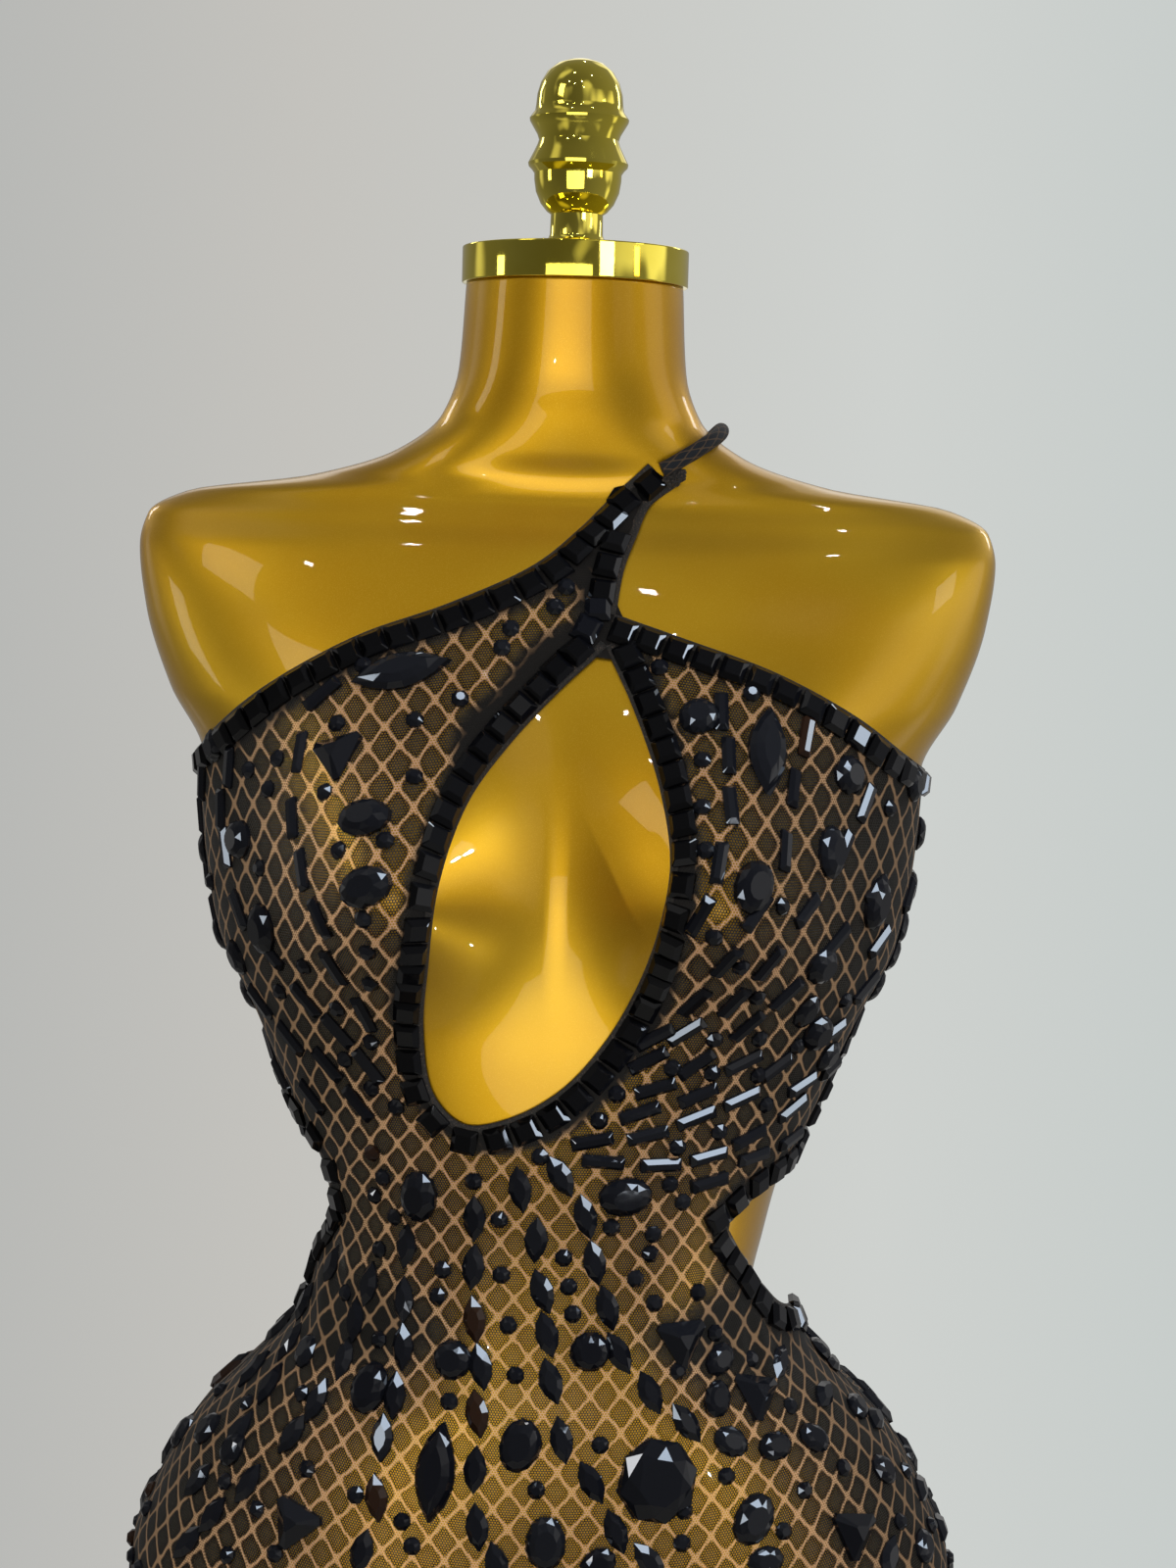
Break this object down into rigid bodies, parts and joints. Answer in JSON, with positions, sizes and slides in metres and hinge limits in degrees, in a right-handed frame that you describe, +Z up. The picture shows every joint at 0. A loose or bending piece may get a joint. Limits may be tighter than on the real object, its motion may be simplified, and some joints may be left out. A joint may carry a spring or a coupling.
{
  "type": "evening gown on a limbless dress form",
  "caption": "Floor-length one-shoulder evening gown in printed stretch net with keyhole, waist cut-outs and black cut stones, on a limbless gilt dress form with a pole and round foot.",
  "frame": {"origin": "centre of the stand foot's underside, on the floor", "axes": "+Z up along the pole and neck, -Y is the front of the gown, +X is the wearer's left"},
  "size_m": [0.5633, 0.5698, 1.587],
  "materials": {
    "printed_net": "sheer stretch net with a printed diamond mesh",
    "cord_net": "net rolled into a cord",
    "gilt_paint": "pearl gold paint under clear gloss",
    "polished_brass": "polished"
  },
  "bodies": {
    "root": {"gown_front": "printed_net", "gown_back_band": "printed_net", "gown_skirt_back": "printed_net", "strap_cord": "cord_net", "form_torso": "gilt_paint", "neck_cap": "polished_brass", "finial": "polished_brass", "stand_pole": "polished_brass", "stand_foot": "polished_brass"}
  },
  "joints": []
}
